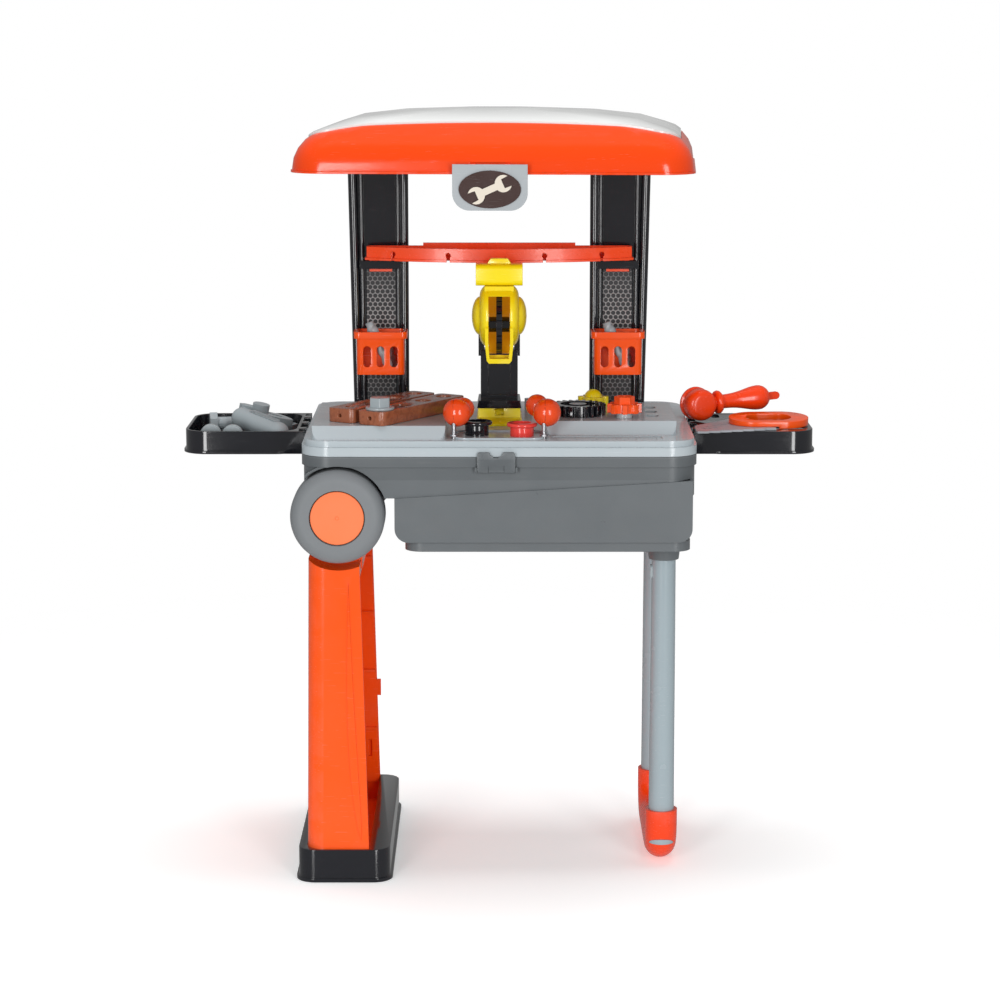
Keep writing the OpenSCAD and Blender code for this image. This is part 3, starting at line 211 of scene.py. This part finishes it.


# ---------- patterns, with a painted sheen and a painted glow ---


def honeycomb(g, col):
    """Dark dots in a hexagonal net, on a grey with a painted sheen that is lightest half way up the post.
    """
    net_foot, net_height = 0.465, 0.146
    x, _, z = g.xyz()
    pitch = 5.25 * MM
    row = pitch * math.sqrt(3)

    def centre_distance(dx, dz):
        u = g.math("SUBTRACT", g.math("FLOORED_MODULO", g.math("ADD", x, dx), pitch), pitch / 2)
        v = g.math("SUBTRACT", g.math("FLOORED_MODULO", g.math("ADD", z, dz), row), row / 2)
        return g.math("SQRT", g.math("ADD", g.math("MULTIPLY", u, u), g.math("MULTIPLY", v, v)))

    near = g.math("MINIMUM", centre_distance(0.0, 0.0), centre_distance(pitch / 2, row / 2))
    net = g.ramp(g.math("DIVIDE", near, pitch / 2), [(0.78, 0.0), (0.92, 1.0)])
    height = g.math("DIVIDE", g.math("SUBTRACT", z, net_foot), net_height)
    # painted sheen: the grey between the dots brightens towards the middle of the post's height
    light = g.ramp(height, [(0.0, 0.10), (0.3, 0.45), (0.62, 0.62), (0.85, 0.42), (1.0, 0.10)])
    lit = g.mix(light, rgb(60, 60, 62), rgb(205, 205, 205))
    return g.mix(net, rgb(30, 30, 33), lit), net


def plank_marks(g, col):
    """Moulded grain: long shallow lines, a little darker."""
    lines = g.noise(1.0, 3.0, 0.6, at=g.place((260, 34, 120), (0, 0, 33)), distort=1.2)
    dark = g.ramp(lines, [(0.40, 1.0), (0.52, 0.0)])
    return g.mix(g.math("MULTIPLY", dark, 0.3), col, rgb(84, 38, 24)), lines


def rim_band(g, col):
    """The band under the seam is a shade darker than the tub."""
    band_low, band_high = 0.4175, 0.4395
    z = g.xyz()[2]
    above = g.math("GREATER_THAN", z, band_low)
    below = g.math("LESS_THAN", z, band_high)
    return g.mix(g.math("MULTIPLY", g.math("MULTIPLY", above, below), 0.55), col, rgb(88, 93, 96)), None


def tyre_line(g, col):
    """Faint mould line round the middle of each tyre."""
    half_width = 0.4 * MM
    y = g.math("ABSOLUTE", g.xyz()[1])
    off = g.math("ABSOLUTE", g.math("SUBTRACT", y, TYRE_Y))
    line = g.ramp(g.math("DIVIDE", off, half_width), [(0.6, 1.0), (1.0, 0.0)])
    return g.mix(g.math("MULTIPLY", line, 0.5), col, rgb(84, 88, 92)), line


def ball_seam(g, col):
    """Dark mould seam down the driver handles."""
    seam_x = 0.0462
    x = g.math("ABSOLUTE", g.xyz()[0])
    wobble = g.math("MULTIPLY", g.math("SUBTRACT", g.noise(160.0, 3.0), 0.5), 2.6 * MM)
    d = g.math("ABSOLUTE", g.math("ADD", g.math("SUBTRACT", x, seam_x), wobble))
    seam = g.ramp(g.math("DIVIDE", d, 0.55 * MM), [(0.0, 1.0), (1.0, 0.0)])
    broken = g.ramp(g.noise(240.0, 2.0), [(0.42, 0.0), (0.5, 1.0)])
    seam = g.math("MULTIPLY", seam, broken)
    return g.mix(g.math("MULTIPLY", seam, 0.75), col, rgb(120, 40, 22)), None


def amber_with_painted_glow(g, col):
    """Guard: amber where the moulding is thin, round the blade; a painted glow stands in for the light that
    comes through it.
    """
    x, y, z = g.xyz()
    side = g.math("LESS_THAN", g.math("ABSOLUTE", x), BLADE_SPACE)
    dy, dz = g.math("SUBTRACT", y, BLADE_Y), g.math("SUBTRACT", z, BLADE_Z)
    reach = g.math("SQRT", g.math("ADD", g.math("MULTIPLY", dy, dy), g.math("MULTIPLY", dz, dz)))
    inner = g.math("MULTIPLY", side, g.math("LESS_THAN", reach, BLADE_REACH))
    # painted glow: the amber inside emits a little light of its own
    g.put(g.bsdf.inputs["Emission Strength"], g.math("MULTIPLY", inner, 0.22))
    g.bsdf.inputs["Emission Color"].default_value = rgb(255, 176, 20)
    return g.mix(inner, col, rgb(226, 150, 16)), None


# ---------- materials ----------

MATS = {
    "tub": moulded("tub_grey", rgb(102, 107, 110), 0.32, peel=0.10, rub=0.30, rub_turn=(0, 62, 0),
                   pale_edge=0.35, edge=0.8, paint=rim_band),
    "wheel": moulded("wheel_grey", rgb(124, 128, 131), 0.55, peel=0.12, edge=0.5, paint=tyre_line),
    "cap": moulded("cap_orange", rgb(255, 128, 74), 0.60, drift=0.02, peel=0.16, edge=0.5),
    "top": moulded("top_grey", rgb(184, 194, 199), 0.22, coat=0.3, drift=0.02, rub=0.10, edge=0.9,
                   pale_edge=0.3),
    "roof_grey": moulded("roof_grey", rgb(236, 237, 236), 0.20, coat=0.3, drift=0.02, edge=0.6),
    "tab": moulded("tab_grey", rgb(176, 182, 186), 0.28, drift=0.03, edge=0.8),
    "tick": moulded("scale_ticks", rgb(120, 128, 132), 0.4, drift=0.02, edge=0.0),
    "black": moulded("gloss_black", rgb(22, 23, 29), 0.12, coat=0.6, drift=0.02, peel=0.03, rub=0.05,
                     edge=0.9, pale_edge=0.10, dust=0.04),
    "inlay": moulded("honeycomb_print_painted_sheen", rgb(60, 60, 62), 0.35, edge=0.0, pale_edge=0.0, paint=honeycomb),
    "orange": moulded("gloss_orange", rgb(255, 86, 6), 0.22, coat=0.2, drift=0.02, peel=0.05, rub=0.06,
                      edge=0.9, pale_edge=0.05),
    "roof": moulded("roof_orange", rgb(248, 70, 0), 0.16, coat=0.05, drift=0.02, peel=0.03, rub=0.04,
                    edge=1.2, pale_edge=0.2),
    "red": moulded("red_orange", rgb(246, 66, 14), 0.26, coat=0.25, drift=0.02, peel=0.06, rub=0.06,
                   edge=0.9),
    "shelf": moulded("shelf_red", rgb(246, 74, 18), 0.28, coat=0.2, drift=0.02, peel=0.06, edge=0.8),
    "cup_red": moulded("cup_coral", rgb(246, 74, 66), 0.18, coat=0.3, drift=0.03, edge=0.8),
    "ball": moulded("ball_orange", rgb(242, 76, 20), 0.22, coat=0.4, drift=0.03, peel=0.06, edge=0.0,
                    paint=ball_seam),
    "yellow": moulded("gloss_yellow", rgb(255, 234, 16), 0.26, coat=0.3, drift=0.01, peel=0.06,
                      edge=0.9),
    "guard": moulded("guard_yellow", rgb(255, 230, 14), 0.28, coat=0.3, drift=0.01, peel=0.06, edge=0.9,
                     paint=amber_with_painted_glow),
    "brown": moulded("plank_brown", rgb(160, 92, 62), 0.24, coat=0.3, drift=0.04, peel=0.10, edge=1.4,
                     paint=plank_marks),
    "badge": moulded("badge_brown", rgb(62, 38, 34), 0.25, coat=0.2, edge=0.4),
    "cream": moulded("emblem_cream", rgb(232, 222, 206), 0.35, edge=0.2),
    "toy_grey": moulded("toy_metal_grey", rgb(162, 172, 176), 0.34, coat=0.2, drift=0.04, peel=0.10,
                        rub=0.15, edge=0.7,
                        pale_edge=0.3),
    "saw_grey": moulded("handsaw_grey", rgb(150, 154, 160), 0.30, peel=0.08, rub=0.25, edge=0.5),
    "tube": moulded("tube_grey", rgb(158, 172, 178), 0.24, coat=0.3, drift=0.02, peel=0.04, rub=0.12,
                    rub_turn=(0, 90, 0), edge=0.5),
}


def brushed(name, colour, rough):
    g = Graph(name)
    g.bsdf.inputs["Metallic"].default_value = 1.0
    lines = g.noise(1.0, 3.0, 0.6, at=g.place((1500, 1500, 40)))
    g.put(g.bsdf.inputs["Base Color"], g.mix(lines, colour, tuple(c * 0.72 for c in colour[:3]) + (1,)))
    g.put(g.bsdf.inputs["Roughness"], g.math("ADD", rough, g.math("MULTIPLY", lines, 0.2)))
    g.put(g.bsdf.inputs["Normal"], g.bump(lines, 0.15, 0.0002, g.soft_edges(0.4 * MM)))
    return g.mat


MATS["steel"] = brushed("brushed_steel", rgb(190, 190, 194), 0.25)

NODE_MATS = {
    "tub": "case_tub case_floor leg_socket latch",
    "steel": "axle wheel_retainers hinge_pins case_screws driver_left_shaft driver_right_shaft",
    "wheel": "wheel_front wheel_rear",
    "cap": "hubcap_front hubcap_rear",
    "top": "worktop",
    "roof_grey": "roof_panel",
    "tab": "badge_tab",
    "black": "post_left post_right saw_column cup_black gear_black leg_foot tray_left tray_right saw_blade",
    "inlay": "inlay_left inlay_right",
    "orange": "leg_shell leg_panel basket_left basket_right gear_orange handsaw_grip",
    "roof": "roof_shell",
    "red": "leg_grip hammer",
    "shelf": "shelf",
    "cup_red": "cup_red",
    "ball": "driver_left_handle driver_right_handle",
    "yellow": "saw_base saw_handle gear_yellow",
    "guard": "saw_guard",
    "brown": "plank_front plank_rear",
    "badge": "badge_plate",
    "toy_grey": "bits_left bits_right hex_bolt spanner pliers toy_nuts button_front button_rear",
    "saw_grey": "handsaw_blade",
    "tube": "tube_front tube_rear",
}


def smooth_group():
    """A modifier group that shades smooth, and keeps edges sharper than the given angle."""
    tree = bpy.data.node_groups.new("smooth_by_angle", "GeometryNodeTree")
    tree.interface.new_socket("Geometry", in_out="INPUT", socket_type="NodeSocketGeometry")
    tree.interface.new_socket("Geometry", in_out="OUTPUT", socket_type="NodeSocketGeometry")
    angle = tree.interface.new_socket("Angle", in_out="INPUT", socket_type="NodeSocketFloat")
    angle.default_value = math.radians(34)
    gin, gout = tree.nodes.new("NodeGroupInput"), tree.nodes.new("NodeGroupOutput")
    faces = tree.nodes.new("GeometryNodeSetShadeSmooth")
    edges = tree.nodes.new("GeometryNodeSetShadeSmooth")
    edges.domain = "EDGE"
    edges.inputs["Shade Smooth"].default_value = False
    turn = tree.nodes.new("GeometryNodeInputMeshEdgeAngle")
    over = tree.nodes.new("FunctionNodeCompare")
    over.data_type, over.operation = "FLOAT", "GREATER_THAN"
    tree.links.new(turn.outputs["Unsigned Angle"], over.inputs[0])
    tree.links.new(gin.outputs["Angle"], over.inputs[1])
    tree.links.new(gin.outputs["Geometry"], faces.inputs["Geometry"])
    tree.links.new(faces.outputs["Geometry"], edges.inputs["Geometry"])
    tree.links.new(over.outputs["Result"], edges.inputs["Selection"])
    tree.links.new(edges.outputs["Geometry"], gout.inputs["Geometry"])
    return tree


SMOOTH = smooth_group()


def dress(obj, mat):
    obj.data.materials.clear()
    obj.data.materials.append(MATS[mat])


def weld(obj):
    obj.modifiers.new("weld", "WELD").merge_threshold = WELD


def shade(obj):
    obj.modifiers.new("smooth", "NODES").node_group = SMOOTH


def smooth(obj):
    weld(obj)
    shade(obj)


# pieces whose edges are rounded, with the radius in mm
ROUNDED = {
    "plank_front": 2.4,
    "plank_rear": 2.4,
    "saw_handle": 2.0,
    "saw_base": 1.2,
    "basket_left": 1.0,
    "basket_right": 1.0,
    "tray_left": 1.1,
    "tray_right": 1.1,
    "leg_foot": 1.6,
    "hex_bolt": 0.7,
    "gear_black": 0.6,
    "gear_orange": 0.6,
    "gear_yellow": 1.0,
    "handsaw_grip": 2.2,
    "latch": 0.7,
}


def round_edges(obj, radius):
    """Merges what is flat, then rounds the sharp edges."""
    weld(obj)
    flat = obj.modifiers.new("flat", "DECIMATE")
    flat.decimate_type = "DISSOLVE"
    flat.angle_limit = math.radians(1.5)
    b = obj.modifiers.new("bevel", "BEVEL")
    b.width = radius * MM
    b.segments = 3
    b.limit_method = "ANGLE"
    b.angle_limit = math.radians(40)
    shade(obj)


for mat, names in NODE_MATS.items():
    for name in names.split():
        dress(nodes[name], mat)
        if name in ROUNDED:
            round_edges(nodes[name], ROUNDED[name])
        else:
            smooth(nodes[name])


# ---------- pieces of their own ----------


def new_piece(name, verts, faces, mat, body, slot):
    mesh = bpy.data.meshes.new(name)
    mesh.from_pydata(verts, [], faces)
    mesh.validate()
    mesh.update()
    obj = bpy.data.objects.new(name, mesh)
    scene.collection.objects.link(obj)
    dress(obj, mat)
    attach(obj, body)
    return obj


def prism(outline, y0, y1):
    """Outline in X and Z, drawn out along Y, as vertices and faces."""
    n = len(outline)
    verts = [(x, y0, z) for x, z in outline] + [(x, y1, z) for x, z in outline]
    faces = [tuple(range(n)), tuple(reversed(range(n, 2 * n)))]
    faces += [(i, i + n, (i + 1) % n + n, (i + 1) % n) for i in range(n)]
    return verts, faces


def spanner_outline(length, jaw, waist):
    """A plain spanner with a jaw at each end, lying along X, centred."""
    gape, join = math.radians(38), math.pi - math.asin(waist / jaw)
    steps = [gape + (join - gape) * i / 12 for i in range(13)]
    middle = length / 2 - jaw
    quarter = [(middle - 0.05 * jaw, jaw * math.sin(gape) * 0.9)]
    quarter += [(middle + jaw * math.cos(a), jaw * math.sin(a)) for a in steps]
    top = quarter + [(-x, z) for x, z in reversed(quarter)]
    return top + [(x, -z) for x, z in reversed(top)]


def emblem():
    lo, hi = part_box("badge_plate")
    cx, cz = (lo.x + hi.x) / 2, (lo.z + hi.z) / 2
    c, s = math.cos(math.radians(24)), math.sin(math.radians(24))
    pts = [(cx + x * c - z * s, cz + x * s + z * c) for x, z in spanner_outline(0.046, 0.0085, 0.0034)]
    verts, faces = prism(pts, lo.y - 0.0006, lo.y + 0.0004)
    new_piece("badge_emblem", verts, faces, "cream", "badge", "top_grey")


emblem()


def spiral(base, lean, rings, lobes, depth, pitch):
    """A fluted rod that winds round its axis: rings are (height, radius) in mm, base is in metres."""
    around = 30
    steps = []
    for (h0, r0), (h1, r1) in zip(rings, rings[1:]):
        count = max(1, round((h1 - h0) / 0.9))
        steps += [(h0 + (h1 - h0) * i / count, r0 + (r1 - r0) * i / count) for i in range(count)]
    steps.append(rings[-1])
    turn = Matrix.Rotation(math.radians(lean), 4, "Y")
    verts, faces = [], []
    for h, r in steps:
        for i in range(around):
            a = 2 * math.pi * i / around
            wave = 0.5 + 0.5 * math.cos(lobes * (a - 2 * math.pi * h / pitch))
            rr = r * (1 - depth * wave)
            point = turn @ Vector((rr * math.cos(a), rr * math.sin(a), h)) * MM
            verts.append(tuple(Vector(base) + point))
    for k in range(len(steps) - 1):
        for i in range(around):
            j = (i + 1) % around
            faces.append((k * around + i, k * around + j, (k + 1) * around + j, (k + 1) * around + i))
    last = (len(steps) - 1) * around
    faces.append(tuple(reversed(range(around))))
    faces.append(tuple(last + i for i in range(around)))
    return verts, faces


def joined(*parts):
    verts, faces = [], []
    for v, f in parts:
        faces += [tuple(i + len(verts) for i in face) for face in f]
        verts += v
    return verts, faces


def drill_bits(side, x):
    """The toy bits with their spiral flutes, in place of the plain rods."""
    collar = [(0, 5.0), (33, 5.0), (35, 6.6), (49, 5.6), (52, 4.6)]
    point = [(0, 4.3), (28, 4.3), (38, 1.3)]
    thick_foot, thin_foot = (x + 0.009, 0.0248, 0.5096), (x + 0.014, 0.0385, 0.5076)
    thick = spiral(thick_foot, -24, collar, lobes=2, depth=0.26, pitch=24)
    thin = spiral(thin_foot, -14, point, lobes=2, depth=0.3, pitch=15)
    bits = new_piece(f"drill_bits_{side}", *joined(thick, thin), "toy_grey", f"{side}_bits", "toy_grey")
    smooth(bits)
    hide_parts(f"bits_{side}")


drill_bits("left", -BASKET_X)
drill_bits("right", BASKET_X)


def turned(name, profile, centre, mat, body, slot):
    """A shape turned about an axis along Y: profile is (radius, distance to the front) in mm."""
    around = 40
    x, y, z = centre
    verts, faces = [(x, y - profile[0][1] * MM, z)], []
    for r, h in profile[1:]:
        for i in range(around):
            a = 2 * math.pi * i / around
            verts.append((x + r * MM * math.cos(a), y - h * MM, z + r * MM * math.sin(a)))
    for i in range(around):
        j = (i + 1) % around
        faces.append((0, 1 + i, 1 + j))
        for k in range(len(profile) - 2):
            a, b = 1 + k * around, 1 + (k + 1) * around
            faces.append((a + i, b + i, b + j, a + j))
    last = 1 + (len(profile) - 2) * around
    faces.append(tuple(last + around - 1 - i for i in range(around)))
    smooth(new_piece(name, verts, faces, mat, body, slot))


def guard_lining():
    """Curved back of the blade's space, inside the guard."""
    arc = [math.radians(a) for a in range(-75, 91, 5)]
    outer, inner, reach = 0.0323, 0.0312, 0.0109
    outline = [(outer * math.cos(a), outer * math.sin(a)) for a in arc]
    outline += [(inner * math.cos(a), inner * math.sin(a)) for a in reversed(arc)]
    n = len(outline)
    verts = [(x, BLADE_Y + dy, BLADE_Z + dz) for x in (-reach, reach) for dy, dz in outline]
    faces = []
    half = n // 2
    for i in range(half - 1):
        j = n - 1 - i
        faces += [(i, i + 1, j - 1, j), (i + n, j + n, j - 1 + n, i + 1 + n)]
        faces += [(i, i + n, i + 1 + n, i + 1), (j, j - 1, j - 1 + n, j + n)]
    for a, b in ((0, n - 1), (half, half - 1)):
        faces.append((a, b, b + n, a + n))
    smooth(new_piece("guard_lining", verts, faces, "guard", "saw_head", "yellow_gloss"))


guard_lining()

nib = [(0, 0.9), (0.8, 0.85), (1.5, 0.6), (2.0, 0.2), (2.3, -0.3)]
cap_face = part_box("hubcap_front")[0].y
turned("hubcap_nib", nib, (WHEEL_X, cap_face, WHEEL_Z), "cap", "front_wheel", "orange_matte")


def scale_ticks():
    """Raised ticks along the recess in front of the right bed; every fifth one is longer."""
    first, pitch, rear = 0.058, 0.004, -0.1105
    low, high = 0.4560, 0.45665
    bars = []
    for i in range(26):
        x = first + i * pitch
        depth = 0.013 if i % 5 == 0 else 0.007
        outline = [(x - 0.0004, low), (x + 0.0004, low), (x + 0.00025, high), (x - 0.00025, high)]
        bars.append(prism(outline, rear - depth, rear))
    new_piece("scale_ticks", *joined(*bars), "tick", "lid", "top_grey")


scale_ticks()


# ---------- floor, light and camera ----------


def floor():
    """Pale floor that melts into the white backdrop, 0.3 to 1.35 m from the middle."""
    fade_reach = 3.0
    bpy.ops.mesh.primitive_plane_add(size=60, location=(0, 20, -0.0002))
    plane = bpy.context.object
    plane.name = "floor"
    g = Graph("pale_floor")
    g.bsdf.inputs["Base Color"].default_value = (0.92, 0.92, 0.92, 1)
    g.bsdf.inputs["Roughness"].default_value = 0.9
    g.bsdf.inputs["Specular IOR Level"].default_value = 0.1
    g.bsdf.inputs["Emission Color"].default_value = (1, 1, 1, 1)
    g.bsdf.inputs["Emission Strength"].default_value = 0.34
    away = g.add("ShaderNodeVectorMath", operation="LENGTH")
    g.link(g.add("ShaderNodeNewGeometry").outputs["Position"], away.inputs[0])
    fade = g.ramp(g.math("DIVIDE", away.outputs["Value"], fade_reach), [(0.10, 0.0), (0.45, 1.0)])
    clear = g.add("ShaderNodeBsdfTransparent")
    blend = g.add("ShaderNodeMixShader")
    g.link(fade, blend.inputs[0])
    g.link(g.bsdf.outputs["BSDF"], blend.inputs[1])
    g.link(clear.outputs["BSDF"], blend.inputs[2])
    g.link(blend.outputs["Shader"], g.out.inputs["Surface"])
    plane.data.materials.append(g.mat)
    plane.visible_glossy = False


def studio(strength):
    """Even light from all round, on a white backdrop."""
    world = bpy.data.worlds.new("studio")
    scene.world = world
    world.use_nodes = True
    tree = world.node_tree
    glow = tree.nodes["Background"]
    ray = tree.nodes.new("ShaderNodeLightPath")
    pick = tree.nodes.new("ShaderNodeMix")
    pick.inputs[2].default_value = strength
    pick.inputs[3].default_value = 1.0
    tree.links.new(ray.outputs["Is Camera Ray"], pick.inputs[0])
    tree.links.new(pick.outputs[0], glow.inputs["Strength"])
    glow.inputs["Color"].default_value = (1, 1, 1, 1)


def softbox(name, at, target, size, power, mirrored=True):
    data = bpy.data.lights.new(name, "AREA")
    data.shape = "RECTANGLE"
    data.size, data.size_y = size
    data.energy = power
    obj = bpy.data.objects.new(name, data)
    scene.collection.objects.link(obj)
    obj.location = at
    obj.rotation_euler = (Vector(target) - Vector(at)).to_track_quat("-Z", "Y").to_euler()
    obj.visible_glossy = mirrored


MIDDLE = (0, 0, 0.42)  # what the lights look at
floor()
studio(0.28)
softbox("strip_left", (-1.06, -2.62, 0.80), MIDDLE, (0.62, 1.7), 30)
softbox("strip_right", (1.06, -2.62, 0.80), MIDDLE, (0.62, 1.7), 28)
softbox("top", (0, 0.2, 2.7), MIDDLE, (2.2, 1.4), 44, mirrored=False)

# camera solved from the case, the roof and the legs in the photograph, looking 10 degrees down
EYE = (0.0008, -2.94085, 0.8951)
TILT = math.radians(79.919)
SENSOR, LENS = 36, 102.2

cam_data = bpy.data.cameras.new("camera")
cam_data.sensor_width = SENSOR
cam_data.lens = LENS
cam_data.clip_end = 100
cam = bpy.data.objects.new("camera", cam_data)
scene.collection.objects.link(cam)
cam.location = EYE
cam.rotation_euler = (TILT, 0, 0)
scene.camera = cam
scene.view_settings.view_transform = "Standard"
scene.view_settings.look = "None"
